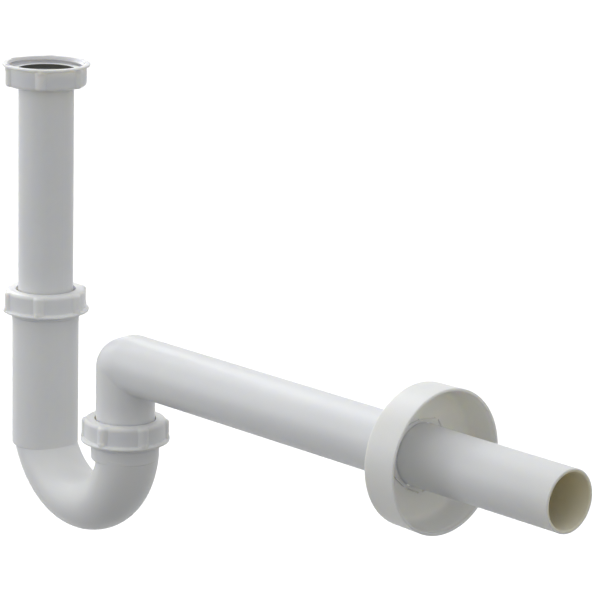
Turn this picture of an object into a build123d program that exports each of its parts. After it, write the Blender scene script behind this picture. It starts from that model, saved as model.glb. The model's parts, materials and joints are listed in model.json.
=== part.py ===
from build123d import *
import os
from math import cos, radians, sin

# A tubular trap for a wash basin: a straight inlet tube hangs from a union nut,
# slides in the long leg of a U-shaped trap body, and a wall pipe with an elbow
# rises from the short leg and runs to the wall through a cup-shaped rosette.
# The origin lies on the inlet axis, where the clear thread of the top nut
# starts, just above the flat seal. +Z is up and +X runs along the wall pipe.
# All sizes are in millimetres.

# Wall pipe: the tube in the short leg, the elbow and the long pipe are one moulding
PIPE_R = 16.0
PIPE_WALL = 1.8
PIPE_DRAFT = 0.05
PIPE_LENGTH = 323.4
PIPE_PLAIN_LENGTH = 80.0
PIPE_EDGE = 0.4
PIPE_DROP = 148.2
ELBOW_PIVOT = 6.0
ELBOW_HEIGHT = 31.2
OUTLET_TUBE_INSERTION = 17.8

# Joint between a tube and a leg: the leg's bore, flared seat and thread, from the inside out.
# With these sizes the thread is G 1 1/4, with a root radius of 20.955.
LEG_PLAY = 0.3
SEAT_LEDGE = 0.55
SEAT_FLARE = 1.1
SEAT_DEPTH = 5.0
SEAT_RIM_WALL = 1.4
THREAD_DEPTH = 1.555
SEAT_PLAY = 0.1
SEAL_PLAY = 0.05
SEAL_ABOVE_RIM = 0.6
SLIP_RING_THICKNESS = 1.2
SLIP_RING_PLAY = 0.35
SLIP_RING_EDGE_PLAY = 0.4

# Union nuts, all three of one mould
NUT_HEIGHT = 12.0
NUT_SHOULDER = 3.0
NUT_HOLE_PLAY = 0.65
NUT_WALL = 1.245
NUT_FLANGE_REACH = 1.9
NUT_FLANGE_EDGE = 1.2
NUT_FLANGE_SLOPE = 1.0
NUT_ROUNDING = 1.8
NUT_MOUTH_CHAMFER = 0.8
NUT_CLEAR_THREAD = 2.6
NUT_RELIEF = 0.35
RIB_COUNT = 6
RIB_R = 3.4
RIB_REACH = 1.5
RIB_TOP_GAP = 0.5
KNOB_R = 3.3
KNOB_REACH = 2.1
KNOB_ABOVE_EDGE = 3.4
TOP_NUT_TURN = -50.0
MIDDLE_NUT_TURN = -53.7
LOWER_NUT_TURN = -16.0
MIDDLE_NUT_DROP = 123.4

# Inlet tube with the collar that the top nut carries, and its flat seal
INLET_PLAY = 1.1
INLET_WALL = 1.7
INLET_INSERTION = 46.8
COLLAR_PLAY = 0.755
COLLAR_MOUTH_FLARE = 2.25
COLLAR_MOUTH_DEPTH = 2.5
FLAT_SEAL_PLAY = 0.655
FLAT_SEAL_MOUTH_GAP = 0.2
FLAT_SEAL_THICKNESS = 2.4
FLAT_SEAL_GAP = 0.1

# Trap body: two legs joined by an oval bend, whose curve is a little wider than the legs
LEG_SPACING = 79.13
LEG_TURN = -5.67
LEG_WALL = 2.1
LEG_THREAD_LENGTH = 8.0
LEG_THREAD_CHAMFER = 0.6
LEG_COLLAR_STEP = 0.5
LEG_COLLAR_THICKNESS = 1.2
LEG_UPPER_STEP = 0.15
LEG_UPPER_LENGTH = 13.5
LEG_FOOT_ROUNDING = 1.2
LONG_LEG_REACH = 19.2
LONG_LEG_FLOOR = 3.7
SHORT_LEG_REACH = 8.9
SHORT_LEG_FLOOR = 2.4
BEND_DROP = 14.1
BEND_SPREAD = 3.235
BEND_HALF_HEIGHT = 15.3
BEND_HALF_WIDTH = 17.7
BEND_WALL = 2.5
BEND_START = 7.0
BEND_BORE_LONG_START = 17.0
BEND_BORE_SHORT_START = 5.0

# Wall rosette: a deep cup that slides on the wall pipe
ROSETTE_BACK = 223.3
ROSETTE_DEPTH = 18.5
ROSETTE_R = 37.05
ROSETTE_DRAFT = 0.55
ROSETTE_ROUNDING = 2.5
ROSETTE_PLATE = 2.0
ROSETTE_WALL = 1.8
ROSETTE_PLAY = 0.4
ROSETTE_LIP_DEPTH = 2.2
ROSETTE_LIP_STEP = 0.3
SLIT_COUNT = 10
SLIT_WIDTH = 0.5
SLIT_LENGTH = 10.0
SLIT_OFFSET = 1.2
SLIT_TILT = 9.0
SLIT_TURN = 74.8

# Radii worked out from the sizes above
PIPE_BORE_R = PIPE_R - PIPE_WALL
ELBOW_R = PIPE_R + PIPE_DRAFT
LEG_BORE_R = ELBOW_R + LEG_PLAY
SEAT_FOOT_R = LEG_BORE_R + SEAT_LEDGE
SEAT_TOP_R = SEAT_FOOT_R + SEAT_FLARE
THREAD_CORE_R = SEAT_TOP_R + SEAT_RIM_WALL
THREAD_ROOT_R = THREAD_CORE_R + THREAD_DEPTH
SLIP_RING_R = THREAD_CORE_R - SLIP_RING_EDGE_PLAY
NUT_HOLE_R = ELBOW_R + NUT_HOLE_PLAY
NUT_BODY_R = THREAD_ROOT_R + NUT_WALL
NUT_FLANGE_R = NUT_BODY_R + NUT_FLANGE_REACH
RIB_CIRCLE_R = NUT_BODY_R + RIB_REACH - RIB_R
KNOB_CIRCLE_R = NUT_BODY_R + KNOB_REACH - KNOB_R
INLET_R = LEG_BORE_R - INLET_PLAY
COLLAR_R = THREAD_ROOT_R - COLLAR_PLAY
COLLAR_MOUTH_R = INLET_R - INLET_WALL + COLLAR_MOUTH_FLARE
FLAT_SEAL_R = THREAD_ROOT_R - FLAT_SEAL_PLAY
FLAT_SEAL_HOLE_R = COLLAR_MOUTH_R + FLAT_SEAL_MOUTH_GAP
LEG_R = LEG_BORE_R + LEG_WALL
LEG_UPPER_R = LEG_R + LEG_UPPER_STEP
LEG_COLLAR_R = LEG_UPPER_R + LEG_COLLAR_STEP
BEND_CURVE_R = LEG_SPACING / 2 + BEND_SPREAD
ROSETTE_BACK_R = ROSETTE_R - ROSETTE_DRAFT
ROSETTE_HOLE_R = PIPE_R + ROSETTE_PLAY
SLIT_CIRCLE_R = ROSETTE_HOLE_R + SLIT_OFFSET

# Heights worked out from the sizes above
TOP_NUT_Z = -(NUT_HEIGHT - NUT_MOUTH_CHAMFER - NUT_CLEAR_THREAD)
COLLAR_FOOT_Z = TOP_NUT_Z + NUT_SHOULDER
COLLAR_TOP_Z = -FLAT_SEAL_GAP - FLAT_SEAL_THICKNESS
MIDDLE_NUT_Z = -MIDDLE_NUT_DROP
INLET_FOOT_Z = MIDDLE_NUT_Z - INLET_INSERTION
PIPE_Z = -PIPE_DROP
LOWER_NUT_Z = PIPE_Z - ELBOW_HEIGHT
OUTLET_TUBE_FOOT_Z = LOWER_NUT_Z - OUTLET_TUBE_INSERTION
BEND_Z = LOWER_NUT_Z - BEND_DROP
LONG_LEG_FOOT_Z = BEND_Z - LONG_LEG_REACH
LONG_LEG_FLOOR_Z = LONG_LEG_FOOT_Z + LONG_LEG_FLOOR
SHORT_LEG_FOOT_Z = BEND_Z - SHORT_LEG_REACH
SHORT_LEG_FLOOR_Z = SHORT_LEG_FOOT_Z + SHORT_LEG_FLOOR

# Axes and places worked out from the sizes above
LEG_LINE = Vector(cos(radians(LEG_TURN)), sin(radians(LEG_TURN)), 0)
OUTLET = LEG_LINE * LEG_SPACING
INLET_PLACE = Plane.XY
OUTLET_PLACE = Plane(origin=OUTLET)
BEND_CENTRE = LEG_LINE * (LEG_SPACING / 2) + Vector(0, 0, BEND_Z)
BEND_AXIS = Axis(BEND_CENTRE, LEG_LINE.cross(Vector(0, 0, 1)))
PIPE_START = Vector(OUTLET.X, OUTLET.Y, PIPE_Z)
PIPE_AXIS = Axis(PIPE_START, (1, 0, 0))


def half_section(place):
    """The upright plane of a turned piece: first outwards, then along its axis."""
    return Plane(origin=place.origin, x_dir=place.x_dir, z_dir=-place.y_dir)


def turning_axis(place):
    return Axis(place.origin, place.z_dir)


def save(part, name):
    part.label = name
    export_step(part, f"parts/{name}.step")


def union_nut(place):
    """A union nut whose closed face is at the place and whose mouth lies along its axis."""
    slope_start = NUT_HEIGHT - NUT_FLANGE_EDGE - NUT_FLANGE_SLOPE
    knob_height = NUT_HEIGHT - KNOB_ABOVE_EDGE
    rib_start = RIB_TOP_GAP + RIB_R
    chamfer_start = NUT_HEIGHT - NUT_MOUTH_CHAMFER
    thread_start = chamfer_start - NUT_CLEAR_THREAD
    with BuildPart() as nut:
        with BuildSketch(half_section(place)):
            with BuildLine():
                Polyline(
                    (NUT_BODY_R - NUT_ROUNDING, 0),
                    (0, 0),
                    (0, NUT_HEIGHT),
                    (NUT_FLANGE_R, NUT_HEIGHT),
                    (NUT_FLANGE_R, NUT_HEIGHT - NUT_FLANGE_EDGE),
                    (NUT_BODY_R, slope_start),
                    (NUT_BODY_R, NUT_ROUNDING),
                )
                RadiusArc(
                    (NUT_BODY_R, NUT_ROUNDING),
                    (NUT_BODY_R - NUT_ROUNDING, 0),
                    NUT_ROUNDING,
                )
            make_face()
        revolve(axis=turning_axis(place))
        with BuildSketch(place.offset(rib_start)):
            with PolarLocations(RIB_CIRCLE_R, RIB_COUNT):
                Circle(RIB_R)
        extrude(amount=knob_height - rib_start)
        with Locations(place.offset(rib_start)):
            with PolarLocations(RIB_CIRCLE_R, RIB_COUNT):
                Sphere(RIB_R)
        with Locations(place.offset(knob_height)):
            with PolarLocations(KNOB_CIRCLE_R, RIB_COUNT):
                Sphere(KNOB_R)
        with BuildSketch(half_section(place)):
            with BuildLine():
                Polyline(
                    (0, 0),
                    (NUT_HOLE_R, 0),
                    (NUT_HOLE_R, NUT_SHOULDER),
                    (THREAD_ROOT_R + NUT_RELIEF, NUT_SHOULDER),
                    (THREAD_ROOT_R + NUT_RELIEF, thread_start),
                    (THREAD_ROOT_R, thread_start),
                    (THREAD_ROOT_R, chamfer_start),
                    (THREAD_ROOT_R + NUT_MOUTH_CHAMFER, NUT_HEIGHT),
                    (0, NUT_HEIGHT),
                    close=True,
                )
            make_face()
        revolve(axis=turning_axis(place), mode=Mode.SUBTRACT)
    return nut.part


def nut_place(centre, height, turn, mouth):
    ribs = (cos(radians(turn)), sin(radians(turn)), 0)
    return Plane(origin=(centre.X, centre.Y, height), x_dir=ribs, z_dir=(0, 0, mouth))


def slip_ring(place, nut_z, tube_r):
    """The thin washer that lets the nut turn without dragging the cone seal."""
    top = nut_z - NUT_SHOULDER
    with BuildPart() as ring:
        with BuildSketch(place.offset(top - SLIP_RING_THICKNESS)):
            Circle(SLIP_RING_R)
            Circle(tube_r + SLIP_RING_PLAY, mode=Mode.SUBTRACT)
        extrude(amount=SLIP_RING_THICKNESS)
    return ring.part


def cone_seal(place, nut_z, tube_r):
    """The soft cone that the slip ring presses into the leg's flared seat."""
    top = nut_z - NUT_SHOULDER - SLIP_RING_THICKNESS
    rim = top - SEAL_ABOVE_RIM
    with BuildPart() as seal:
        with BuildSketch(half_section(place)):
            with BuildLine():
                Polyline(
                    (tube_r + SEAL_PLAY, top),
                    (SEAT_TOP_R - SEAT_PLAY, top),
                    (SEAT_TOP_R - SEAT_PLAY, rim),
                    (SEAT_FOOT_R - SEAT_PLAY, rim - SEAT_DEPTH + SEAT_PLAY),
                    (tube_r + SEAL_PLAY, rim - SEAT_DEPTH + SEAT_PLAY),
                    close=True,
                )
            make_face()
        revolve(axis=turning_axis(place))
    return seal.part


def leg_rim(nut_z):
    return nut_z - NUT_SHOULDER - SLIP_RING_THICKNESS - SEAL_ABOVE_RIM


def leg_outside(place, nut_z, foot_z):
    """Sketch of a leg's outer outline: thread core, collar, upper band, plain leg."""
    rim = leg_rim(nut_z)
    thread_end = rim - LEG_THREAD_LENGTH
    collar_end = thread_end - LEG_COLLAR_THICKNESS
    band_end = rim - LEG_UPPER_LENGTH
    with BuildSketch(half_section(place)) as outline:
        with BuildLine():
            Polyline(
                (LEG_R - LEG_FOOT_ROUNDING, foot_z),
                (0, foot_z),
                (0, rim),
                (THREAD_CORE_R - LEG_THREAD_CHAMFER, rim),
                (THREAD_CORE_R, rim - LEG_THREAD_CHAMFER),
                (THREAD_CORE_R, thread_end),
                (LEG_COLLAR_R, thread_end),
                (LEG_COLLAR_R, collar_end),
                (LEG_UPPER_R, collar_end),
                (LEG_UPPER_R, band_end),
                (LEG_R, band_end),
                (LEG_R, foot_z + LEG_FOOT_ROUNDING),
            )
            RadiusArc(
                (LEG_R, foot_z + LEG_FOOT_ROUNDING),
                (LEG_R - LEG_FOOT_ROUNDING, foot_z),
                LEG_FOOT_ROUNDING,
            )
        make_face()
    return outline.sketch


def leg_inside(place, nut_z, floor_z):
    """Sketch of a leg's bore with the flared seat at its rim."""
    rim = leg_rim(nut_z)
    with BuildSketch(half_section(place)) as outline:
        with BuildLine():
            Polyline(
                (0, rim),
                (SEAT_TOP_R, rim),
                (SEAT_FOOT_R, rim - SEAT_DEPTH),
                (LEG_BORE_R, rim - SEAT_DEPTH),
                (LEG_BORE_R, floor_z),
                (0, floor_z),
                close=True,
            )
        make_face()
    return outline.sketch


def bend_section(start, wall):
    """Oval section of the bend, at an angle below the horizontal on the inlet side."""
    outwards = LEG_LINE * -cos(radians(start)) + Vector(0, 0, -sin(radians(start)))
    along = BEND_AXIS.direction.cross(outwards)
    with BuildSketch(Plane(origin=BEND_CENTRE, x_dir=outwards, z_dir=along)) as oval:
        with Locations((BEND_CURVE_R, 0)):
            Ellipse(BEND_HALF_HEIGHT - wall, BEND_HALF_WIDTH - wall)
    return oval.sketch


def elbow_corner(radius):
    """Half-moon that turns about the elbow's pivot to make its rounded outer corner."""
    with BuildSketch(Plane.XY.offset(PIPE_Z - ELBOW_PIVOT)) as moon:
        with Locations((OUTLET.X, OUTLET.Y)):
            Circle(radius)
            with Locations((ELBOW_PIVOT, 0)):
                Rectangle(2 * radius, 2 * radius, align=(Align.MIN, Align.CENTER), mode=Mode.SUBTRACT)
    return moon.sketch


os.makedirs("parts", exist_ok=True)

# Union nuts: the top one opens upwards, the other two downwards
save(union_nut(nut_place(Vector(0, 0), TOP_NUT_Z, TOP_NUT_TURN, 1)), "top_union_nut")
save(union_nut(nut_place(Vector(0, 0), MIDDLE_NUT_Z, MIDDLE_NUT_TURN, -1)), "middle_union_nut")
save(union_nut(nut_place(OUTLET, LOWER_NUT_Z, LOWER_NUT_TURN, -1)), "lower_union_nut")

# Slip rings and cone seals of the two tube joints
save(slip_ring(INLET_PLACE, MIDDLE_NUT_Z, INLET_R), "upper_slip_ring")
save(slip_ring(OUTLET_PLACE, LOWER_NUT_Z, ELBOW_R), "lower_slip_ring")
save(cone_seal(INLET_PLACE, MIDDLE_NUT_Z, INLET_R), "upper_cone_seal")
save(cone_seal(OUTLET_PLACE, LOWER_NUT_Z, ELBOW_R), "lower_cone_seal")

# Flat seal on the inlet tube's collar
with BuildPart() as flat_seal:
    with BuildSketch(Plane.XY.offset(COLLAR_TOP_Z)):
        Circle(FLAT_SEAL_R)
        Circle(FLAT_SEAL_HOLE_R, mode=Mode.SUBTRACT)
    extrude(amount=FLAT_SEAL_THICKNESS)
save(flat_seal.part, "flat_seal")

# Inlet tube with its collar and flared mouth
with BuildPart() as inlet_tube:
    with BuildSketch(Plane.XZ):
        with BuildLine():
            Polyline(
                (COLLAR_MOUTH_R, COLLAR_TOP_Z),
                (COLLAR_R, COLLAR_TOP_Z),
                (COLLAR_R, COLLAR_FOOT_Z),
                (INLET_R, COLLAR_FOOT_Z),
                (INLET_R, INLET_FOOT_Z),
                (INLET_R - INLET_WALL, INLET_FOOT_Z),
                (INLET_R - INLET_WALL, COLLAR_TOP_Z - COLLAR_MOUTH_DEPTH),
                close=True,
            )
        make_face()
    revolve(axis=Axis.Z)
save(inlet_tube.part, "inlet_tube")

# Trap body
with BuildPart() as trap_body:
    revolve(leg_outside(INLET_PLACE, MIDDLE_NUT_Z, LONG_LEG_FOOT_Z), axis=Axis.Z)
    revolve(leg_outside(OUTLET_PLACE, LOWER_NUT_Z, SHORT_LEG_FOOT_Z), axis=turning_axis(OUTLET_PLACE))
    revolve(bend_section(BEND_START, 0), axis=BEND_AXIS, revolution_arc=180 - 2 * BEND_START)
    revolve(leg_inside(INLET_PLACE, MIDDLE_NUT_Z, LONG_LEG_FLOOR_Z), axis=Axis.Z, mode=Mode.SUBTRACT)
    revolve(
        leg_inside(OUTLET_PLACE, LOWER_NUT_Z, SHORT_LEG_FLOOR_Z),
        axis=turning_axis(OUTLET_PLACE),
        mode=Mode.SUBTRACT,
    )
    revolve(
        bend_section(BEND_BORE_LONG_START, BEND_WALL),
        axis=BEND_AXIS,
        revolution_arc=180 - BEND_BORE_LONG_START - BEND_BORE_SHORT_START,
        mode=Mode.SUBTRACT,
    )
save(trap_body.part, "trap_body")

# Wall pipe with its elbow and the tube that drops into the short leg
with BuildPart() as wall_pipe:
    with BuildSketch(OUTLET_PLACE.offset(OUTLET_TUBE_FOOT_Z)):
        Circle(ELBOW_R)
    extrude(amount=PIPE_Z - ELBOW_PIVOT - OUTLET_TUBE_FOOT_Z)
    pivot = Axis((OUTLET.X + ELBOW_PIVOT, OUTLET.Y, PIPE_Z - ELBOW_PIVOT), (0, 1, 0))
    revolve(elbow_corner(ELBOW_R), axis=pivot, revolution_arc=90)
    with BuildSketch(half_section(Plane(PIPE_START))):
        with BuildLine():
            Polyline(
                (ELBOW_PIVOT, 0),
                (ELBOW_PIVOT, ELBOW_R),
                (PIPE_LENGTH - PIPE_PLAIN_LENGTH, PIPE_R),
                (PIPE_LENGTH - PIPE_EDGE, PIPE_R),
                (PIPE_LENGTH, PIPE_R - PIPE_EDGE),
                (PIPE_LENGTH, 0),
                close=True,
            )
        make_face()
    revolve(axis=PIPE_AXIS)
    with BuildSketch(OUTLET_PLACE.offset(OUTLET_TUBE_FOOT_Z)):
        Circle(PIPE_BORE_R)
    extrude(amount=PIPE_Z - ELBOW_PIVOT - OUTLET_TUBE_FOOT_Z, mode=Mode.SUBTRACT)
    revolve(elbow_corner(PIPE_BORE_R), axis=pivot, revolution_arc=90, mode=Mode.SUBTRACT)
    with BuildSketch(Plane.YZ.offset(OUTLET.X + ELBOW_PIVOT)):
        with Locations((OUTLET.Y, PIPE_Z)):
            Circle(PIPE_BORE_R)
    extrude(amount=PIPE_LENGTH - ELBOW_PIVOT, mode=Mode.SUBTRACT)
save(wall_pipe.part, "wall_pipe")

# Wall rosette: the cup's outline runs along the pipe, then outwards from its axis
with BuildPart() as wall_rosette:
    back = ROSETTE_BACK
    front = ROSETTE_BACK + ROSETTE_DEPTH
    plate = ROSETTE_BACK + ROSETTE_PLATE
    with BuildSketch(half_section(Plane(PIPE_START))):
        with BuildLine():
            Polyline(
                (back, ROSETTE_BACK_R - ROSETTE_ROUNDING),
                (back, ROSETTE_HOLE_R),
                (plate, ROSETTE_HOLE_R),
                (plate, ROSETTE_BACK_R - ROSETTE_WALL),
                (front - ROSETTE_LIP_DEPTH, ROSETTE_R - ROSETTE_WALL),
                (front - ROSETTE_LIP_DEPTH, ROSETTE_R - ROSETTE_WALL + ROSETTE_LIP_STEP),
                (front, ROSETTE_R - ROSETTE_WALL + ROSETTE_LIP_STEP),
                (front, ROSETTE_R),
                (back + ROSETTE_ROUNDING, ROSETTE_BACK_R),
            )
            RadiusArc(
                (back + ROSETTE_ROUNDING, ROSETTE_BACK_R),
                (back, ROSETTE_BACK_R - ROSETTE_ROUNDING),
                ROSETTE_ROUNDING,
            )
        make_face()
    revolve(axis=PIPE_AXIS)
    with BuildSketch(Plane.YZ.offset(OUTLET.X + ROSETTE_BACK)):
        with Locations((OUTLET.Y, PIPE_Z)):
            with PolarLocations(SLIT_CIRCLE_R, SLIT_COUNT // 2, start_angle=SLIT_TURN):
                Rectangle(SLIT_WIDTH, SLIT_LENGTH, rotation=SLIT_TILT)
            with PolarLocations(SLIT_CIRCLE_R, SLIT_COUNT // 2, start_angle=SLIT_TURN + 360 / SLIT_COUNT):
                Rectangle(SLIT_WIDTH, SLIT_LENGTH, rotation=-SLIT_TILT)
    extrude(amount=ROSETTE_PLATE, mode=Mode.SUBTRACT)
save(wall_rosette.part, "wall_rosette")
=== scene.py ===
# %% [markdown]
# This notebook dresses a tubular trap: the white plastic drain of a wash basin.
# The solid pieces arrive as a fixed frame in metres, and nothing in it is moved
# or resized here. The cells add what a solid model leaves out: the turns of the
# pipe threads, the soft edges of moulded plastic, and how polypropylene takes light.

# %% The tools and the frame
import json
import math

import bmesh
import bpy
import numpy as np
from mathutils import Matrix, Vector


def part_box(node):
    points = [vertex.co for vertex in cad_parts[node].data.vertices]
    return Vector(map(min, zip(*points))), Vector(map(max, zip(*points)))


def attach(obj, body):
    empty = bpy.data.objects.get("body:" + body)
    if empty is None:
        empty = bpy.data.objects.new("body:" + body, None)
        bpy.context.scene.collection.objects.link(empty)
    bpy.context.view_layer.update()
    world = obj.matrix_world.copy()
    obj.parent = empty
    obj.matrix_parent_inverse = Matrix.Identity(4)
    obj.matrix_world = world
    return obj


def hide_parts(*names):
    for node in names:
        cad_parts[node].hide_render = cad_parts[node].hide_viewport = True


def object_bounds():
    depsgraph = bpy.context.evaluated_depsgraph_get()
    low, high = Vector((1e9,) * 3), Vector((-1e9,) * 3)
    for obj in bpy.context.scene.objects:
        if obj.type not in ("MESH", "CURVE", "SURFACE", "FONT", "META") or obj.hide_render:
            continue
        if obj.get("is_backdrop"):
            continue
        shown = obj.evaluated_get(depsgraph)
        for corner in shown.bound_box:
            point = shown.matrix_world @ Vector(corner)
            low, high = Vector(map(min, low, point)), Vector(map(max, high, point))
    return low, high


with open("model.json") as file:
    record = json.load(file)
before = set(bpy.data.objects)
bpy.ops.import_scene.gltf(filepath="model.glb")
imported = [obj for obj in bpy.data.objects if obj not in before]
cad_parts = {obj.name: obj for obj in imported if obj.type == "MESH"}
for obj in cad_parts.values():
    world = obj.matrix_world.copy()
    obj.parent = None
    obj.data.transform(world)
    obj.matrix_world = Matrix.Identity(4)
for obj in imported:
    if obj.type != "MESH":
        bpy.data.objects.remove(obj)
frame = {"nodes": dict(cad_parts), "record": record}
cad_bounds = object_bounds()

# %% [markdown]
# A photograph is matched before anything is dressed, because proportions and
# highlights are judged through the same eye. The camera stands 1.67 m off with a
# long lens, looks down by some 14 degrees, and leans by a little over one.

# %% The camera
MM = 0.001
SENSOR = 36.0
LENS = 200.56
AZIMUTH = math.radians(46.665)
ELEVATION = math.radians(13.853)
ROLL = math.radians(1.265)
TARGET = Vector((211.76, -7.82, -85.97)) * MM
DISTANCE = 1.67399


def camera_matrix(target, distance, azimuth, elevation, roll):
    """A camera at a distance from its target, turned, raised and then leant by roll."""
    right = Vector((math.cos(azimuth), math.sin(azimuth), 0))
    ahead = Vector((
        -math.sin(azimuth) * math.cos(elevation),
        math.cos(azimuth) * math.cos(elevation),
        -math.sin(elevation),
    ))
    up = right.cross(ahead)
    leant_right = math.cos(roll) * right + math.sin(roll) * up
    leant_up = math.cos(roll) * up - math.sin(roll) * right
    turn = Matrix((leant_right, leant_up, -ahead)).transposed().to_4x4()
    return Matrix.Translation(target - distance * ahead) @ turn


camera_data = bpy.data.cameras.new("photo_camera")
camera_data.lens = LENS
camera_data.sensor_width = SENSOR
camera = bpy.data.objects.new("photo_camera", camera_data)
camera.matrix_world = camera_matrix(TARGET, DISTANCE, AZIMUTH, ELEVATION, ROLL)
bpy.context.collection.objects.link(camera)
bpy.context.scene.camera = camera
print("camera at", [round(v, 3) for v in camera.matrix_world.translation])

# %% [markdown]
# A material is a small network of nodes. One helper adds a node, sets it up and
# links it in one line, so each recipe below reads as a list of what happens.
# Colours are written as the hex values of a paint chart, and turned to the linear
# light that a renderer adds up.

# %% Helpers for materials


def linear(hex_colour):
    """sRGB hex to linear: each channel's curve is undone, v/12.92 or ((v+0.055)/1.055)^2.4."""
    channels = [int(hex_colour[i:i + 2], 16) / 255 for i in (1, 3, 5)]
    return [v / 12.92 if v <= 0.04045 else ((v + 0.055) / 1.055) ** 2.4 for v in channels] + [1.0]


def add(tree, kind, inputs=None, **settings):
    """Adds one node: settings are its own options, inputs are values or sockets to link."""
    node = tree.nodes.new(kind)
    for name, value in settings.items():
        setattr(node, name, value)
    for name, value in (inputs or {}).items():
        socket = node.inputs[name]
        if isinstance(value, bpy.types.NodeSocket):
            tree.links.new(value, socket)
        else:
            socket.default_value = value
    return node


print("white in linear light:", linear("#FFFFFF"))

# %% [markdown]
# Deep in a white tube light goes to and fro so often that a renderer keeps it bright, where a real
# bore falls off into shade. That shade is painted here. A second material inside would need the
# tube's mesh to be cut. Instead one comparison gives the faces that look at a tube's axis a painted
# shade of their own: there the surface normal and the line out from the axis point against each
# other, so their dot product is negative.

# %% The painted shade of a bore
BORE_MARGIN_MM = 1.0
# Painted shade for the bores: dark grey deep in the inlet tube and its seal, light grey on the top
# nut's thread, and a darker warm cream in the wall pipe's mouth that also paints the glow of light
# through its wall.
DEEP_BORE_PAINTED_SHADE_HEX = "#64645E"
TOP_NUT_BORE_PAINTED_SHADE_HEX = "#D2D2D5"
WALL_PIPE_BORE_PAINTED_SHADE_AND_GLOW_HEX = "#E1DCC9"


def paint_bore_shade(tree, place, facing, tint, across, centre, painted_shade_hex):
    """The tint, but a painted shade colour where normal . (place across the axis) is negative."""
    offset = [-across[k] * centre[k] * MM for k in range(3)]
    out = add(
        tree, "ShaderNodeVectorMath",
        {0: place, 1: across, 2: offset}, operation="MULTIPLY_ADD",
    )
    turned_in = add(
        tree, "ShaderNodeVectorMath",
        {0: facing, 1: out.outputs[0]}, operation="DOT_PRODUCT",
    )
    # The faces found here get the painted shade instead of the plastic's tint.
    gets_painted_shade = add(
        tree, "ShaderNodeMath",
        {0: turned_in.outputs["Value"], 1: -BORE_MARGIN_MM * MM}, operation="LESS_THAN",
    )
    mixed = add(
        tree, "ShaderNodeMix",
        {0: gets_painted_shade.outputs[0], 6: tint, 7: linear(painted_shade_hex)}, data_type="RGBA",
    )
    return mixed.outputs[2]


print("painted bore shades:", DEEP_BORE_PAINTED_SHADE_HEX, TOP_NUT_BORE_PAINTED_SHADE_HEX, WALL_PIPE_BORE_PAINTED_SHADE_AND_GLOW_HEX)

# %% [markdown]
# The tubes and nuts are injection-moulded white polypropylene. It is a little
# milky, with a soft satin gloss, and its skin has a very fine grain from the
# mould. Its colour wanders by a shade over a hand's breadth, which a flat colour
# would miss. The grain is far too fine to see from here, so it is drawn about ten
# times coarser than a real mould's, where it only softens the highlights.

# %% Moulded polypropylene
CLOUD_MM = 30.0
CLOUD_DETAIL = 3.0
SHINE_MM = 9.0
SHINE_SPREAD = 0.05
GRAIN_MM = 1.2
GRAIN_DEPTH_MM = 0.008
FINE_DETAIL = 2.0
PLASTIC_IOR = 1.49
MILKINESS = 0.7
MILKY_COLOURS_REACH = (1.0, 0.9, 0.6)
MILKY_DEPTH_MM = 3.0


def moulded_polypropylene(name, light_hex, dark_hex, roughness, bore=None):
    """Satin white plastic: faint clouds in colour and gloss, and a fine mould grain."""
    material = bpy.data.materials.new(name)
    material.use_nodes = True
    tree = material.node_tree
    tree.nodes.clear()
    coordinates = add(tree, "ShaderNodeTexCoord")
    place = coordinates.outputs["Object"]
    clouds = add(
        tree, "ShaderNodeTexNoise",
        {"Vector": place, "Scale": 1 / (CLOUD_MM * MM), "Detail": CLOUD_DETAIL},
    )
    shine = add(
        tree, "ShaderNodeTexNoise",
        {"Vector": place, "Scale": 1 / (SHINE_MM * MM), "Detail": FINE_DETAIL},
    )
    grain = add(
        tree, "ShaderNodeTexNoise",
        {"Vector": place, "Scale": 1 / (GRAIN_MM * MM), "Detail": FINE_DETAIL},
    )
    tint = add(
        tree, "ShaderNodeMix",
        {0: clouds.outputs["Fac"], 6: linear(dark_hex), 7: linear(light_hex)}, data_type="RGBA",
    ).outputs[2]
    # Where a bore is given, its inward faces get a painted shade over the tint.
    if bore:
        tint = paint_bore_shade(tree, place, coordinates.outputs["Normal"], tint, *bore)
    gloss = add(
        tree, "ShaderNodeMapRange",
        {
            "Value": shine.outputs["Fac"],
            "To Min": roughness - SHINE_SPREAD,
            "To Max": roughness + SHINE_SPREAD,
        },
    )
    relief = add(
        tree, "ShaderNodeBump",
        {"Height": grain.outputs["Fac"], "Distance": GRAIN_DEPTH_MM * MM, "Strength": 1.0},
    )
    plastic = add(
        tree, "ShaderNodeBsdfPrincipled",
        {
            "Base Color": tint,
            "Roughness": gloss.outputs["Result"],
            "Normal": relief.outputs["Normal"],
            "IOR": PLASTIC_IOR,
            "Subsurface Weight": MILKINESS,
            "Subsurface Radius": MILKY_COLOURS_REACH,
            "Subsurface Scale": MILKY_DEPTH_MM * MM,
        },
    )
    add(tree, "ShaderNodeOutputMaterial", {"Surface": plastic.outputs["BSDF"]})
    return material


tube_plastic = moulded_polypropylene("white polypropylene, tubes", "#EFEFEE", "#E9E9E7", 0.40)
nut_plastic = moulded_polypropylene("white polypropylene, nuts", "#F0F0EF", "#EAEAE8", 0.38)
rosette_plastic = moulded_polypropylene("white polypropylene, rosette", "#EFEFED", "#E9E9E6", 0.40)
seal_plastic = moulded_polypropylene("soft white polyethylene, seals", "#F2F2F0", "#EDEDEA", 0.55)
print("plastics for tubes, nuts, rosette and seals")

# %% [markdown]
# Four pieces show their inside, so each gets the same plastic with a painted shade in its bore: the
# inlet tube with its flat seal, the top nut round them, and the open end of the wall pipe, whose
# darker tone is warm as a painted glow of the light through its wall. The first three stand on the
# upright axis through the origin. The wall pipe lies along x, at half its own width and one radius
# under its top.

# %% Plastics with a painted bore shade, and the dressing of the solids
ELBOW_R = 16.05
UPRIGHT_AXIS = ((1, 1, 0), (0, 0, 0))
pipe_low, pipe_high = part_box("wall_pipe")
pipe_y = (pipe_low[1] + pipe_high[1]) / 2 / MM
pipe_z = pipe_high[2] / MM - ELBOW_R

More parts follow.
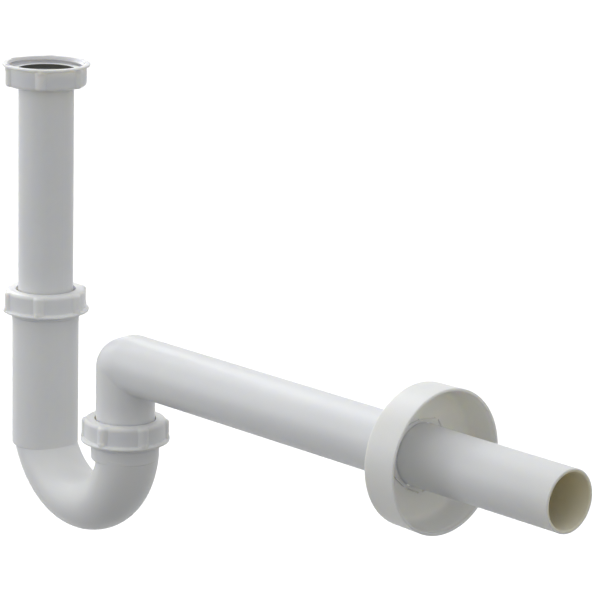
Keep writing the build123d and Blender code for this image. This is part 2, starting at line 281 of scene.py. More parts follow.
inlet_plastic_painted_shade = moulded_polypropylene(
    "white polypropylene, inlet tube, painted bore shade", "#EFEFEE", "#E9E9E7", 0.40,
    bore=(*UPRIGHT_AXIS, DEEP_BORE_PAINTED_SHADE_HEX),
)
flat_seal_plastic_painted_shade = moulded_polypropylene(
    "soft white polyethylene, flat seal, painted bore shade", "#F4F4F2", "#EFEFEC", 0.55,
    bore=(*UPRIGHT_AXIS, DEEP_BORE_PAINTED_SHADE_HEX),
)
# The top nut's thread and inner wall take a painted light grey shade.
top_nut_plastic_painted_shade = moulded_polypropylene(
    "white polypropylene, top nut, painted bore shade", "#F0F0EF", "#EAEAE8", 0.38,
    bore=(*UPRIGHT_AXIS, TOP_NUT_BORE_PAINTED_SHADE_HEX),
)
# Inside its mouth the wall pipe takes a painted shade with a warm painted glow.
wall_pipe_plastic_painted_shade_and_glow = moulded_polypropylene(
    "white polypropylene, wall pipe, painted bore shade and glow", "#EFEFEE", "#E9E9E7", 0.40,
    bore=((0, 1, 1), (0, pipe_y, pipe_z), WALL_PIPE_BORE_PAINTED_SHADE_AND_GLOW_HEX),
)

SLOT_MATERIALS = {
    "tube_plastic": tube_plastic,
    "nut_plastic": nut_plastic,
    "rosette_plastic": rosette_plastic,
    "seal_plastic": seal_plastic,
}
for subpart in frame["record"]["subparts"]:
    node = frame["nodes"][subpart["node"]]
    node.data.materials.clear()
    node.data.materials.append(SLOT_MATERIALS[subpart["material_slot"]])
frame["nodes"]["inlet_tube"].data.materials[0] = inlet_plastic_painted_shade
frame["nodes"]["flat_seal"].data.materials[0] = flat_seal_plastic_painted_shade
print("dressed", len(frame["nodes"]), "solid pieces")

# %% [markdown]
# Every turned or ribbed piece below is one closed surface: a profile of radius
# and height, carried once round an axis. On a grid of profile points by angles the
# whole surface is worked out at once, and the grid closes on itself both ways.

# %% Closed surfaces from a grid


def link_mesh(name, points, faces, material):
    """A smooth mesh object in the scene, its faces turned outwards."""
    mesh = bpy.data.meshes.new(name)
    mesh.from_pydata(points.tolist(), [], faces)
    shell = bmesh.new()
    shell.from_mesh(mesh)
    bmesh.ops.recalc_face_normals(shell, faces=shell.faces)
    shell.to_mesh(mesh)
    shell.free()
    mesh.polygons.foreach_set("use_smooth", np.ones(len(faces), dtype=bool))
    mesh.materials.append(material)
    mesh.update()
    piece = bpy.data.objects.new(name, mesh)
    bpy.context.collection.objects.link(piece)
    return piece


def full_turn(count):
    """Angles of a full turn, as one row of the grid."""
    return np.linspace(0, 2 * np.pi, count, endpoint=False)[None, :]


def grid_faces(rows, columns, rows_close=True):
    """Quads between neighbours on a grid whose columns always meet their first one again."""
    last = rows if rows_close else rows - 1
    i, j = np.meshgrid(np.arange(last), np.arange(columns), indexing="ij")
    below = (i + 1) % rows
    beside = (j + 1) % columns
    corners = (i * columns + j, below * columns + j, below * columns + beside, i * columns + beside)
    return np.stack([c.ravel() for c in corners], axis=1)


def grid_points(x, y, z):
    """The grid's points in metres, row after row."""
    return np.stack([x, y, z], axis=-1).reshape(-1, 3) * MM


def turned(name, radius, height, angle, axis_point, material, mouth=1.0):
    """Point = axis + radius (cos angle, sin angle) across and mouth x height along the axis."""
    x = axis_point[0] + radius * np.cos(angle)
    y = axis_point[1] + radius * np.sin(angle)
    z = axis_point[2] + mouth * height
    points = grid_points(x, y, np.broadcast_to(z, x.shape))
    return link_mesh(name, points, grid_faces(*x.shape).tolist(), material)


print("a grid of 3 by 4 has", len(grid_faces(3, 4)), "faces")

# %% [markdown]
# Moulded plastic has no sharp corner. A profile is therefore written down as its
# plain corners with a radius for each, and the corners are rounded afterwards, which
# keeps the sizes readable and makes every edge catch a little light.

# %% Rounded profiles


def rounded_profile(corners, radii, spacing, arc_points=5):
    """A closed outline whose corners become arcs, with points no further apart than spacing.

    Each corner is cut back by radius / tan(half its angle) along both sides, and the arc
    between the cuts is drawn as a quadratic curve towards the corner. The spacing is one
    value, or one for the side that follows each corner.
    """
    corners = np.array(corners, dtype=float)
    spacing = np.broadcast_to(spacing, len(corners))
    before = np.roll(corners, 1, axis=0) - corners
    after = np.roll(corners, -1, axis=0) - corners
    before /= np.linalg.norm(before, axis=1)[:, None]
    after /= np.linalg.norm(after, axis=1)[:, None]
    half_angle = np.arccos(np.clip((before * after).sum(1), -1, 1)) / 2
    cut = np.array(radii) / np.tan(half_angle)
    starts = corners + before * cut[:, None]
    ends = corners + after * cut[:, None]
    outline = []
    t = np.linspace(0, 1, arc_points)[:, None]
    for k in range(len(corners)):
        if radii[k] > 0:
            arc = (1 - t) ** 2 * starts[k] + 2 * t * (1 - t) * corners[k] + t ** 2 * ends[k]
            outline.append(arc)
        else:
            outline.append(corners[k:k + 1])
        goal = starts[(k + 1) % len(corners)]
        steps = max(1, int(np.ceil(np.linalg.norm(goal - ends[k]) / spacing[k])))
        inner = np.linspace(0, 1, steps + 1)[1:-1, None]
        outline.append(ends[k] + inner * (goal - ends[k]))
    return np.concatenate(outline)


def columns_of(profile):
    """Radius and height of a profile, each as one column of the grid."""
    return profile[:, 0][:, None], profile[:, 1][:, None]


square = rounded_profile([(0, 0), (1, 0), (1, 1), (0, 1)], [0.2] * 4, 0.5)
print("a rounded square has", len(square), "points")

# %% [markdown]
# A union nut is the richest shape here. On the real one a mould leaves six round
# ribs for the fingers, each ending in a knob on the flange, and all of it flows
# together without a sharp line. A boolean of solids leaves creases, so the nut is
# made as one surface. This cell holds its turned profile and its ribs: a rib is a
# round bar that stands beside the axis, with a ball at its end for the knob, and
# what counts is how far out they reach at each angle.

# %% The nut's profile and ribs
NUT_HEIGHT = 12.4
NUT_SHOULDER = 3.0
NUT_HOLE_R = 16.7
NUT_BODY_R = 22.2
NUT_FLANGE_R = 24.1
NUT_FLANGE_EDGE = 1.3
NUT_SLOPE_START = 10.4
NUT_ROUNDING = 2.4
NUT_FLANGE_ROUNDING = 0.6
NUT_SLOPE_ROUNDING = 0.5
NUT_HOLE_ROUNDING = 0.3
NUT_SHOULDER_ROUNDING = 0.4
NUT_CHAMFER = 0.5
NUT_CHAMFER_ROUNDING = 0.15
NUT_SPACING = 0.28
NUT_ARC_POINTS = 7
THREAD_ROOT_R = 20.955
RIB_COUNT = 6
RIB_R = 3.6
RIB_CIRCLE_R = 20.2
RIB_START = 0.4
RIB_BEVEL = 1.6
KNOB_R = 3.0
KNOB_CIRCLE_R = 21.2
KNOB_HEIGHT = 10.3


def nut_profile():
    """The nut's section: along the closed face, up the body and flange, down the thread's root."""
    edge_start = NUT_HEIGHT - NUT_FLANGE_EDGE
    chamfer_start = NUT_HEIGHT - NUT_CHAMFER
    corners_and_radii = [
        ((NUT_HOLE_R, 0), NUT_HOLE_ROUNDING),
        ((NUT_BODY_R, 0), NUT_ROUNDING),
        ((NUT_BODY_R, NUT_SLOPE_START), NUT_SLOPE_ROUNDING),
        ((NUT_FLANGE_R, edge_start), NUT_FLANGE_ROUNDING),
        ((NUT_FLANGE_R, NUT_HEIGHT), NUT_FLANGE_ROUNDING),
        ((THREAD_ROOT_R + NUT_CHAMFER, NUT_HEIGHT), NUT_CHAMFER_ROUNDING),
        ((THREAD_ROOT_R, chamfer_start), 0),
        ((THREAD_ROOT_R, NUT_SHOULDER), NUT_SHOULDER_ROUNDING),
        ((NUT_HOLE_R, NUT_SHOULDER), NUT_HOLE_ROUNDING),
    ]
    corners, radii = zip(*corners_and_radii)
    return rounded_profile(corners, radii, NUT_SPACING, NUT_ARC_POINTS)


def bar_reach(angle, circle_radius, bar_radius):
    """How far out a round bar reaches at an angle from its own centre line; zero beside it.

    With d for the bar's distance from the axis and r for its radius, the ray leaves the bar
    at d cos(angle) + the root of r squared - (d sin(angle)) squared.
    """
    side = circle_radius * np.sin(angle)
    chord = np.maximum(bar_radius ** 2 - side ** 2, 0)
    return np.where(chord > 0, circle_radius * np.cos(angle) + np.sqrt(chord), 0)


def rib_reach(height, angle, rib_turn):
    """The further of two: a bar whose top is rounded off, and a ball at the flange."""
    sector = 2 * np.pi / RIB_COUNT
    from_rib = (angle - rib_turn + sector / 2) % sector - sector / 2
    from_full = np.clip((RIB_START + RIB_BEVEL - height) / RIB_BEVEL, 0, 1)
    rounded_off = RIB_R - RIB_BEVEL * (1 - np.sqrt(1 - from_full ** 2))
    bar = np.where(height < RIB_START, 0, rounded_off)
    ball = np.sqrt(np.maximum(KNOB_R ** 2 - (height - KNOB_HEIGHT) ** 2, 0))
    bars = bar_reach(from_rib, RIB_CIRCLE_R, bar)
    balls = bar_reach(from_rib, KNOB_CIRCLE_R, ball)
    return np.maximum(bars, balls)


print("the nut's profile has", len(nut_profile()), "points")

# %% [markdown]
# Inside, the nut carries a pipe thread. On a turned surface it is a ripple of the
# radius that climbs by one pitch in each turn. It fades out towards the shoulder and
# the mouth, as a mould's thread does, and in the top nut already above the seal.

# %% The nut's thread
THREAD_DEPTH = 1.38
THREAD_PITCH = 2.309
THREAD_CLEAR = 0.4
THREAD_RUN_OUT = 1.2
THREAD_LEAD_IN = 0.05


def thread_ripple(height, angle):
    """One at a thread's crest, zero at its root: a cosine that climbs a pitch in each turn."""
    return 0.5 + 0.5 * np.cos(2 * np.pi * (height / THREAD_PITCH - angle / (2 * np.pi)))


def nut_ridge(height, world_z, angle, thread_from):
    """How far the thread stands in from its root: the ripple, cut off where it fades out."""
    run_out = np.clip((height - thread_from - THREAD_CLEAR) / THREAD_RUN_OUT, 0, 1)
    from_mouth = NUT_HEIGHT - NUT_CHAMFER - height
    lead_in = np.clip(from_mouth / THREAD_DEPTH + THREAD_LEAD_IN, 0, 1)
    ripple = 1 - thread_ripple(world_z, angle)
    return THREAD_DEPTH * np.minimum(ripple, np.minimum(run_out, lead_in))


print("the thread climbs", THREAD_PITCH, "mm in a turn")

# %% [markdown]
# Now the three nuts. The turned profile is pushed outwards where a rib stands, a
# smooth maximum melts the two together, and the thread is taken off the bore. The
# top nut opens upwards, so its height counts up from its closed face, and the other
# two open downwards. Each nut's ribs stand at the angle that the photograph shows.

# %% The union nuts
MELT = 0.12
NUT_ANGLES = 480
SAME_PLACE = 0.01
TOP_NUT_COLLAR = 6.5
TOP_NUT_TURN = math.radians(-46.5)
MIDDLE_NUT_TURN = math.radians(-48.4)
LOWER_NUT_TURN = math.radians(-14.0)


def smooth_maximum(a, b, melt):
    """Half of (a + b + the root of (a - b)^2 + melt^2): the larger, with its corner melted."""
    return 0.5 * (a + b + np.sqrt((a - b) ** 2 + melt ** 2))


def union_nut(name, centre, closed_z, mouth, rib_turn, body, material, thread_from=NUT_SHOULDER):
    """Radius = the profile's, or the ribs' where they reach further, less the thread inside."""
    base, height = columns_of(nut_profile())
    angle = full_turn(NUT_ANGLES)
    rib = rib_reach(height, angle, rib_turn)
    outside = base > THREAD_ROOT_R + NUT_CHAMFER + SAME_PLACE
    pushed = np.where(rib > 0, smooth_maximum(base, rib, MELT) - MELT / 2, base)
    radius = np.where(outside, np.maximum(pushed, base), base + 0 * rib)
    at_root = np.abs(base - THREAD_ROOT_R) < SAME_PLACE
    bore = at_root & (height > NUT_SHOULDER + NUT_SHOULDER_ROUNDING)
    ridge = nut_ridge(height, closed_z + mouth * height, angle, thread_from)
    radius = np.where(bore, radius - ridge, radius)
    nut = turned(name, radius, height, angle, (centre[0], centre[1], closed_z), material, mouth)
    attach(nut, body)
    return nut


def node_centre(node):
    """The middle of a solid piece, seen from above, in mm."""
    low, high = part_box(node)
    return [(low[k] + high[k]) / 2 / MM for k in range(2)]


inlet_centre = (0.0, 0.0)
outlet_centre = node_centre("lower_slip_ring")
top_nut_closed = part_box("top_union_nut")[1][2] / MM - NUT_HEIGHT
middle_nut_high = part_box("middle_union_nut")[1][2] / MM
lower_nut_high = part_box("lower_union_nut")[1][2] / MM
top_nut = union_nut(
    "top_union_nut_moulded", inlet_centre, top_nut_closed, 1, TOP_NUT_TURN, "top_nut",
    top_nut_plastic_painted_shade, TOP_NUT_COLLAR,
)
middle_nut = union_nut(
    "middle_union_nut_moulded", inlet_centre, middle_nut_high, -1, MIDDLE_NUT_TURN, "middle_nut",
    nut_plastic,
)
lower_nut = union_nut(
    "lower_union_nut_moulded", outlet_centre, lower_nut_high, -1, LOWER_NUT_TURN, "lower_nut",
    nut_plastic,
)
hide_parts("top_union_nut")
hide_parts("middle_union_nut")
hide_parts("lower_union_nut")
print("a nut has", len(top_nut.data.polygons) * 2, "triangles")

# %% [markdown]
# The legs carry the other half of each thread. It is hidden under the nuts until
# they are unscrewed, and then it shows. Height and angle go together on a screw, by
# one pitch in each turn, so the ridge is an oval carried up that line. It is drawn
# from just below the leg's rim to the collar, in step with the groove of its nut,
# and both of its ends sink into the leg.

# %% The threads of the legs
LEG_CORE_R = 19.4
LEG_RIM_BELOW_NUT = 4.8
LEG_THREAD_LENGTH = 8.0
LEG_THREAD_CHAMFER = 0.6
LEG_RIDGE_ROWS = 240
OVAL_POINTS = 20
OVAL_CENTRE_SUNK = 0.1
OVAL_DEPTH_SUNK = 0.5
OVAL_HALF_HEIGHT = 0.4
OVAL_FADE = 0.12


def leg_thread(name, centre, nut_closed_z, body):
    """Ridge point = helix at the core radius + an oval, half of it sunk in the leg."""
    rim = nut_closed_z - LEG_RIM_BELOW_NUT
    highest = rim - LEG_THREAD_CHAMFER - THREAD_PITCH / 2
    lowest = rim - LEG_THREAD_LENGTH + THREAD_PITCH / 2
    z = np.linspace(lowest, highest, LEG_RIDGE_ROWS)[:, None]
    angle = 2 * np.pi * z / THREAD_PITCH
    from_end = np.minimum(z - lowest, highest - z) / THREAD_PITCH
    swell = THREAD_DEPTH * np.sqrt(np.clip(from_end / OVAL_FADE, 0, 1))
    oval = full_turn(OVAL_POINTS)
    outer_half = np.maximum(np.cos(oval), 0)
    inner_half = np.minimum(np.cos(oval), 0)
    out = LEG_CORE_R - OVAL_CENTRE_SUNK + swell * outer_half + OVAL_DEPTH_SUNK * inner_half
    height = z + OVAL_HALF_HEIGHT * THREAD_PITCH * np.sin(oval)
    x = centre[0] + out * np.cos(angle)
    y = centre[1] + out * np.sin(angle)
    rows, columns = height.shape
    first_ring = np.arange(columns)
    faces = grid_faces(rows, columns, rows_close=False).tolist()
    faces.append(first_ring.tolist())
    faces.append((first_ring[::-1] + (rows - 1) * columns).tolist())
    ridge = link_mesh(name, grid_points(x, y, height), faces, tube_plastic)
    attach(ridge, body)
    return ridge


long_leg_ridge = leg_thread("long_leg_thread", inlet_centre, middle_nut_high, "trap")
short_leg_ridge = leg_thread("short_leg_thread", outlet_centre, lower_nut_high, "trap")
print("threads on both legs, each of", len(long_leg_ridge.data.polygons), "faces")

# %% [markdown]
# Just below each nut's mouth a narrow collar ends the thread. Its lower edge is
# soft and catches the light as a fine line under the flange, so it is turned once
# more here, a little prouder than the solid's and with rounded edges.

# %% The collars below the threads
LEG_COLLAR_R = 19.55
LEG_COLLAR_INNER_R = 18.0
LEG_COLLAR_TOP_BELOW_NUT = 13.1
LEG_COLLAR_FOOT_BELOW_NUT = 15.0
COLLAR_FOOT_ROUNDING = 0.45
COLLAR_TOP_ROUNDING = 0.3
COLLAR_SPACING = 0.4
COLLAR_ANGLES = 240


def leg_collar(name, centre, nut_closed_z, body):
    """A ring that starts inside the leg's wall and stands out of it by about a millimetre."""
    top = nut_closed_z - LEG_COLLAR_TOP_BELOW_NUT
    foot = nut_closed_z - LEG_COLLAR_FOOT_BELOW_NUT
    corners = [
        (LEG_COLLAR_INNER_R, foot), (LEG_COLLAR_R, foot),
        (LEG_COLLAR_R, top), (LEG_COLLAR_INNER_R, top),
    ]
    radii = [0, COLLAR_FOOT_ROUNDING, COLLAR_TOP_ROUNDING, 0]
    base, height = columns_of(rounded_profile(corners, radii, COLLAR_SPACING))
    angle = full_turn(COLLAR_ANGLES)
    radius = base + 0 * angle
    ring = turned(name, radius, height, angle, (centre[0], centre[1], 0.0), tube_plastic)
    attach(ring, body)
    return ring


long_leg_ring = leg_collar("long_leg_collar", inlet_centre, middle_nut_high, "trap")
short_leg_ring = leg_collar("short_leg_collar", outlet_centre, lower_nut_high, "trap")
print("collars on both legs, each of", len(long_leg_ring.data.polygons), "faces")

# %% [markdown]
# The wall pipe starts as a short tube in the trap, turns in a tight elbow and runs
# to the wall. A mould for such an elbow is cut as if a ball had rolled along a line
# with two knees: its outside is round everywhere, and on its inside the two tubes
# meet in a crease. The line is three straight runs in one upright plane, and a point
# is on the surface where its distance to the line equals the radius. Inside the bend
# a smooth minimum of the three distances softens the crease.

# %% The distance to a kneed line
KNEE_DROP = 2.75
NECK_REACH = 7.0
LINE_END = 400.0


def distance_to_run(x, y, z, start, end):
    """Distance to a straight run in the plane y = 0: the nearest point is clamped to its ends."""
    run = np.array(end) - np.array(start)
    along = ((x - start[0]) * run[0] + (z - start[1]) * run[1]) / (run @ run)
    along = np.clip(along, 0, 1)
    from_x = x - start[0] - along * run[0]
    from_z = z - start[1] - along * run[1]
    return np.sqrt(from_x ** 2 + y ** 2 + from_z ** 2)


def soft_minimum(a, b, reach):
    """The smaller of two, less reach / 4 x the square of how near they are to each other."""
    near = np.maximum(reach - np.abs(a - b), 0) / np.maximum(reach, 1e-9)
    return np.minimum(a, b) - near ** 2 * reach / 4


def elbow_distance(x, y, z, crease):
    """Distance to the kneed line: up the outlet, across the corner, then along the pipe."""
    riser = distance_to_run(x, y, z, (0, -LINE_END), (0, -KNEE_DROP))
    corner = distance_to_run(x, y, z, (0, -KNEE_DROP), (NECK_REACH, 0))
    pipe = distance_to_run(x, y, z, (NECK_REACH, 0), (LINE_END, 0))
    return soft_minimum(soft_minimum(riser, corner, crease), pipe, crease)


print("a point 20 mm above the pipe's axis is", elbow_distance(100.0, 0.0, 20.0, 0.0), "mm off")

# %% [markdown]
# The elbow itself is found rather than drawn. Sections fan out round a pivot inside
# the bend, and in each of them rays go out from the middle line. The far end of a
# ray is halved towards its near end again and again, until it sits on the surface.
# No ray may pass the pivot, where the sections would cross.

# %% The elbow's sections
CREASE = 2.0
SWEEP_PIVOT = 20.0
SWEEP_STATIONS = 73
RAY_LENGTH = 60.0
SHORT_OF_PIVOT = 0.999
HALVINGS = 30


def elbow_sections(radius, angle):
    """Centres, outward directions and radii of the sections that fan round the sweep's pivot."""
    fan = np.linspace(0, np.pi / 2, SWEEP_STATIONS)[:, None]
    out = np.concatenate([-np.cos(fan), np.sin(fan)], axis=1)
    centre = np.array([SWEEP_PIVOT, -SWEEP_PIVOT]) + SWEEP_PIVOT * out
    crease = CREASE * np.maximum(-np.cos(angle), 0) + 0 * fan
    to_pivot = SHORT_OF_PIVOT * SWEEP_PIVOT / np.maximum(-np.cos(angle), 1e-6)
    near = np.zeros_like(crease)
    far = np.minimum(RAY_LENGTH, to_pivot) + 0 * fan
    for _ in range(HALVINGS):
        reach = (near + far) / 2
        x = centre[:, :1] + reach * np.cos(angle) * out[:, :1]
        z = centre[:, 1:] + reach * np.cos(angle) * out[:, 1:]
        beyond = elbow_distance(x, reach * np.sin(angle), z, crease) > radius
        far = np.where(beyond, reach, far)
        near = np.where(beyond, near, reach)
    return centre, out, reach


def straight_sections(places, radii, out, angle):
    """Round sections at given places, all facing the same way."""
    centre = np.array(places, dtype=float)
    reach = np.array(radii, dtype=float)[:, None] + 0 * angle
    return centre, np.tile(out, (len(centre), 1)), reach


print("the elbow has", SWEEP_STATIONS, "sections")

# %% [markdown]
# The whole pipe is one closed surface: up the outside from its foot, round the elbow,
# along the run to the wall, over the end and back through the bore. Its moulded part
# is thicker by a twentieth of a millimetre at the elbow than at the plain end, the
# draft that lets it leave the mould.

# %% The wall pipe
PIPE_R = 16.0
PIPE_BORE_R = 14.2
PIPE_LENGTH = 323.4
PIPE_PLAIN_LENGTH = 80.0
PIPE_EDGE = 0.4
PIPE_EDGE_STATIONS = 5
PIPE_SMALL_EDGE = 0.3
PIPE_ANGLES = 160
TAPER_STATIONS = 24
BORE_STATIONS = 30
RISER = np.array([[-1.0, 0.0]])
RUN = np.array([[0.0, 1.0]])


def riser_heights(foot):
    """Heights of the sections between the foot and the elbow."""
    return [foot + PIPE_SMALL_EDGE, foot + 5, -SWEEP_PIVOT - 5, -SWEEP_PIVOT - 1]


def pipe_outside(foot, angle):
    """From the foot up the riser, round the elbow, along the taper and over the end."""
    up = riser_heights(foot)
    taper_x = np.linspace(SWEEP_PIVOT + 1, PIPE_LENGTH - PIPE_PLAIN_LENGTH, TAPER_STATIONS)
    taper_r = np.linspace(ELBOW_R, PIPE_R, TAPER_STATIONS)
    turn = np.linspace(0, np.pi / 2, PIPE_EDGE_STATIONS)
    edge_x = PIPE_LENGTH - PIPE_EDGE + PIPE_EDGE * np.sin(turn)
    edge_r = PIPE_R - PIPE_EDGE + PIPE_EDGE * np.cos(turn)
    return [
        straight_sections([(0, foot)], [ELBOW_R - PIPE_SMALL_EDGE], RISER, angle),
        straight_sections([(0, z) for z in up], [ELBOW_R] * len(up), RISER, angle),
        elbow_sections(ELBOW_R, angle),
        straight_sections([(x, 0) for x in taper_x], taper_r, RUN, angle),
        straight_sections([(x, 0) for x in edge_x], edge_r, RUN, angle),
    ]


def pipe_inside(foot, angle):
    """Back through the bore to the foot."""
    down = riser_heights(foot)[::-1]
    bore_x = np.linspace(PIPE_LENGTH - PIPE_EDGE, SWEEP_PIVOT + 1, BORE_STATIONS)
    end_r = [PIPE_BORE_R + PIPE_SMALL_EDGE]
    return [
        straight_sections([(PIPE_LENGTH, 0)], end_r, RUN, angle),
        straight_sections([(x, 0) for x in bore_x], [PIPE_BORE_R] * BORE_STATIONS, RUN, angle),
        tuple(part[::-1] for part in elbow_sections(PIPE_BORE_R, angle)),
        straight_sections([(0, z) for z in down], [PIPE_BORE_R] * len(down), RISER, angle),
        straight_sections([(0, foot)], end_r, RISER, angle),
    ]


def pipe_surface(foot):
    """Point = section's centre + reach (cos angle outwards, sin angle sideways)."""
    angle = full_turn(PIPE_ANGLES)
    groups = pipe_outside(foot, angle) + pipe_inside(foot, angle)
    centre, out, reach = (np.concatenate([group[k] for group in groups]) for k in range(3))
    x = centre[:, :1] + reach * np.cos(angle) * out[:, :1]
    z = centre[:, 1:] + reach * np.cos(angle) * out[:, 1:]
    return x, reach * np.sin(angle), z


x, y, z = pipe_surface(pipe_low[2] / MM - pipe_z)
points = grid_points(x + outlet_centre[0], y + outlet_centre[1], z + pipe_z)
faces = grid_faces(*x.shape).tolist()
wall_pipe = link_mesh("wall_pipe_moulded", points, faces, wall_pipe_plastic_painted_shade_and_glow)
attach(wall_pipe, "outlet")
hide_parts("wall_pipe")
print("wall pipe's axis at", round(pipe_z, 2), "mm, with", len(faces) * 2, "triangles")

# %% [markdown]
# The wall rosette is a deep cup that hides the hole in the wall. Round its hole ten
# short grooves stand in a zigzag, where the real one gives way as it is pushed along
# the pipe. Cutting them with booleans would leave the cup full of slivers. So the
# plate is pressed in wherever a point lies within a groove's half width of that
# groove's middle line, on a part of the grid that is fine enough to show it.

# %% The rosette's grooves
GROOVE_COUNT = 10
GROOVE_WIDTH = 0.6
GROOVE_DEPTH = 1.4
GROOVE_LENGTH = 10.0
GROOVE_SIDE = 0.1
GROOVE_END = 0.3
GROOVE_CIRCLE_R = 18.3
GROOVE_TILT = math.radians(9.0)
GROOVE_TURN = math.radians(74.8)


def groove_depth(radius, angle):
    """How far the plate is pressed in: full depth over each groove, with steep sides."""
    depth = np.zeros(np.broadcast_shapes(radius.shape, angle.shape))
    for k in range(GROOVE_COUNT):
        turn = angle - GROOVE_TURN - k * 2 * np.pi / GROOVE_COUNT
        outwards = radius * np.cos(turn) - GROOVE_CIRCLE_R
        sideways = radius * np.sin(turn)
        tilt = GROOVE_TILT * (-1) ** k
        across = np.abs(outwards * np.cos(tilt) + sideways * np.sin(tilt))
        along = np.abs(sideways * np.cos(tilt) - outwards * np.sin(tilt))
        side_wall = np.clip((GROOVE_WIDTH / 2 + GROOVE_SIDE / 2 - across) / GROOVE_SIDE, 0, 1)
        end_wall = np.clip((GROOVE_LENGTH / 2 - along) / GROOVE_END, 0, 1)
        facing = np.cos(turn) > 0
        depth = np.maximum(depth, GROOVE_DEPTH * side_wall * end_wall * facing)
    return depth


print(GROOVE_COUNT, "grooves,", GROOVE_DEPTH, "mm deep")

# %% [markdown]
# The cup is turned about the pipe like the nuts, but along x. It has a wide soft
# corner inside, a thin step at the mouth where the wall is relieved, and it widens a
# little towards the mouth so that it leaves its mould.

# %% The wall rosette
ROSETTE_DEPTH = 20.0
ROSETTE_R = 37.05
ROSETTE_BACK_R = 36.5
ROSETTE_PLATE = 2.4
ROSETTE_WALL = 1.8
ROSETTE_HOLE_R = 16.2
ROSETTE_LIP_DEPTH = 2.2
ROSETTE_LIP_STEP = 0.3
ROSETTE_HOLE_ROUNDING = 0.3
ROSETTE_BACK_ROUNDING = 1.2
ROSETTE_FRONT_ROUNDING = 0.6
ROSETTE_LIP_ROUNDING = 0.5
ROSETTE_INNER_ROUNDING = 5.0
ROSETTE_PLATE_ROUNDING = 0.2
ROSETTE_SPACING = 1.5
ROSETTE_ARC_POINTS = 9
ROSETTE_ANGLES = 600
GROOVES_WITHIN_R = 20.5
GROOVES_SPACING = 0.1


def rosette_profile():
    """The cup's section: along the back, out to the mouth, in over the lip, down to the plate."""
    inner_back_r = ROSETTE_BACK_R - ROSETTE_WALL
    inner_front_r = ROSETTE_R - ROSETTE_WALL
    lip_r = inner_front_r + ROSETTE_LIP_STEP
    lip_start = ROSETTE_DEPTH - ROSETTE_LIP_DEPTH
    corners_radii_spacing = [
        ((ROSETTE_HOLE_R, 0), ROSETTE_HOLE_ROUNDING, ROSETTE_SPACING),
        ((ROSETTE_BACK_R, 0), ROSETTE_BACK_ROUNDING, ROSETTE_SPACING),
        ((ROSETTE_R, ROSETTE_DEPTH), ROSETTE_FRONT_ROUNDING, ROSETTE_SPACING),
        ((lip_r, ROSETTE_DEPTH), ROSETTE_LIP_ROUNDING, ROSETTE_SPACING),
        ((lip_r, lip_start), 0, ROSETTE_SPACING),
        ((inner_front_r, lip_start - ROSETTE_LIP_STEP), 0, ROSETTE_SPACING),
        ((inner_back_r, ROSETTE_PLATE), ROSETTE_INNER_ROUNDING, ROSETTE_SPACING),
        ((GROOVES_WITHIN_R, ROSETTE_PLATE), 0, GROOVES_SPACING),
        ((ROSETTE_HOLE_R, ROSETTE_PLATE), ROSETTE_PLATE_ROUNDING, ROSETTE_SPACING),
    ]
    corners, radii, spacing = zip(*corners_radii_spacing)
    return rounded_profile(corners, radii, spacing, ROSETTE_ARC_POINTS)


def rosette(front, centre_y, centre_z):
    """Point = pipe axis + radius (cos angle, sin angle) across it, at a height from the back."""
    radius, height = columns_of(rosette_profile())
    angle = full_turn(ROSETTE_ANGLES)
    on_plate = np.abs(height - ROSETTE_PLATE) < SAME_PLACE
    height = height - np.where(on_plate, groove_depth(radius, angle), 0)
    x = front - ROSETTE_DEPTH + height
    y = centre_y + radius * np.cos(angle)
    z = centre_z + radius * np.sin(angle)
    faces = grid_faces(*x.shape).tolist()
    return link_mesh("wall_rosette_moulded", grid_points(x, y, z), faces, rosette_plastic)


rosette_low, rosette_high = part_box("wall_rosette")
wall_rosette = rosette(rosette_high[0] / MM, outlet_centre[1], pipe_z)
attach(wall_rosette, "rosette")
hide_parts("wall_rosette")
print("rosette with", len(wall_rosette.data.polygons) * 2, "triangles")

# %% [markdown]
# A catalogue picture has a white ground and soft light from all round. Here most of
# it comes from the pale room itself, and three large softboxes add a little: the
# strongest stands behind on the left, one in front on the left, one hangs above. The
# camera, and mirror-like rays, see the surroundings as plain white; only the light
# that falls on the part is set lower, so that its whites keep their shades.

# %% The room and its lamps
AMBIENT = 0.65
SOFTBOXES = {
    "high_softbox": ((0.0, 0.0, 1.50), 1.6, 2.0),
    "back_softbox": ((-1.30, 0.20, 0.70), 1.0, 9.0),
    "left_softbox": ((-1.10, -1.15, 0.30), 1.0, 4.0),
}


def seen_directly(tree):
    """One for rays that show the surroundings: camera, mirror-like and see-through rays."""
    path = add(tree, "ShaderNodeLightPath").outputs
    either = add(
        tree, "ShaderNodeMath",
        {0: path["Is Camera Ray"], 1: path["Is Glossy Ray"]}, operation="MAXIMUM",
    )
    any_of_three = add(
        tree, "ShaderNodeMath",
        {0: either.outputs[0], 1: path["Is Transmission Ray"]}, operation="MAXIMUM",
    )
    return any_of_three.outputs[0]


world = bpy.data.worlds.new("studio")
bpy.context.scene.world = world
world.use_nodes = True
tree = world.node_tree
tree.nodes.clear()
shown = add(tree, "ShaderNodeBackground", {"Color": linear("#FFFFFF"), "Strength": 1.0})
cast = add(tree, "ShaderNodeBackground", {"Color": linear("#FDFEFF"), "Strength": AMBIENT})
sky = add(
    tree, "ShaderNodeMixShader",
    {0: seen_directly(tree), 1: cast.outputs[0], 2: shown.outputs[0]},
)
add(tree, "ShaderNodeOutputWorld", {"Surface": sky.outputs[0]})

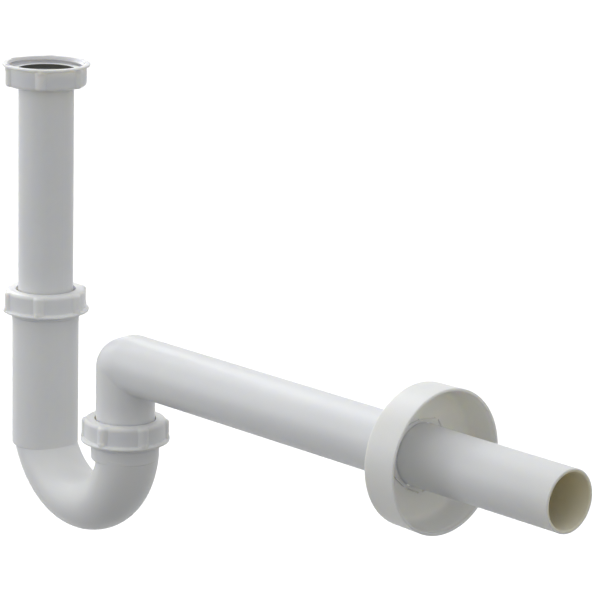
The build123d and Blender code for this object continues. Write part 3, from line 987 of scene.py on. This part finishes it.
for name, (place, size, power) in SOFTBOXES.items():
    lamp_data = bpy.data.lights.new(name, "AREA")
    lamp_data.shape = "DISK"
    lamp_data.size = size
    lamp_data.energy = power
    lamp_data.color = linear("#F9FBFF")[:3]
    lamp = bpy.data.objects.new(name, lamp_data)
    lamp.location = TARGET + Vector(place)
    lamp.rotation_euler = (-Vector(place)).to_track_quat("-Z", "Y").to_euler()
    lamp.visible_camera = False
    bpy.context.collection.objects.link(lamp)
print("lamps:", ", ".join(SOFTBOXES))

# %% [markdown]
# The floor is a wide sheet of pale paper some way below the trap. To the camera it
# glows almost white by itself, and the light that it catches on top shows the
# object's faint shadow. For the light that it sends back up it is a mid grey, so the
# underside of the bend doesn't come out too bright.

# %% The floor
FLOOR_DROP = 0.22
FLOOR_HALF_SIDE = 8.0
FLOOR_HEX = "#8C8C8C"
FLOOR_GLOW = 0.95

floor_material = bpy.data.materials.new("white studio floor")
floor_material.use_nodes = True
tree = floor_material.node_tree
tree.nodes.clear()
paper = add(tree, "ShaderNodeBsdfDiffuse", {"Color": linear(FLOOR_HEX)})
glow = add(tree, "ShaderNodeEmission", {"Color": linear("#FFFFFF"), "Strength": FLOOR_GLOW})
lit = add(tree, "ShaderNodeAddShader", {0: paper.outputs[0], 1: glow.outputs[0]})
ground = add(
    tree, "ShaderNodeMixShader",
    {0: seen_directly(tree), 1: paper.outputs[0], 2: lit.outputs[0]},
)
add(tree, "ShaderNodeOutputMaterial", {"Surface": ground.outputs[0]})

floor_z = cad_bounds[0][2] - FLOOR_DROP
side = FLOOR_HALF_SIDE
corners = np.array([
    (-side, -side, floor_z), (side, -side, floor_z),
    (side, side, floor_z), (-side, side, floor_z),
])
floor = link_mesh("floor", corners, [[0, 1, 2, 3]], floor_material)
floor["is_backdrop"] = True

bpy.context.scene.view_settings.view_transform = "Standard"
print("floor at", round(floor_z / MM, 1), "mm")

# %% [markdown]
# Last, the dressed part is measured. Its box should agree with the solids' box to a fraction of a
# millimetre, because the soft surfaces stay inside the solids' reach.

visual_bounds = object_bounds()
dressed_size = [round((visual_bounds[1][k] - visual_bounds[0][k]) / MM, 1) for k in range(3)]
print("the dressed part measures", dressed_size, "mm")
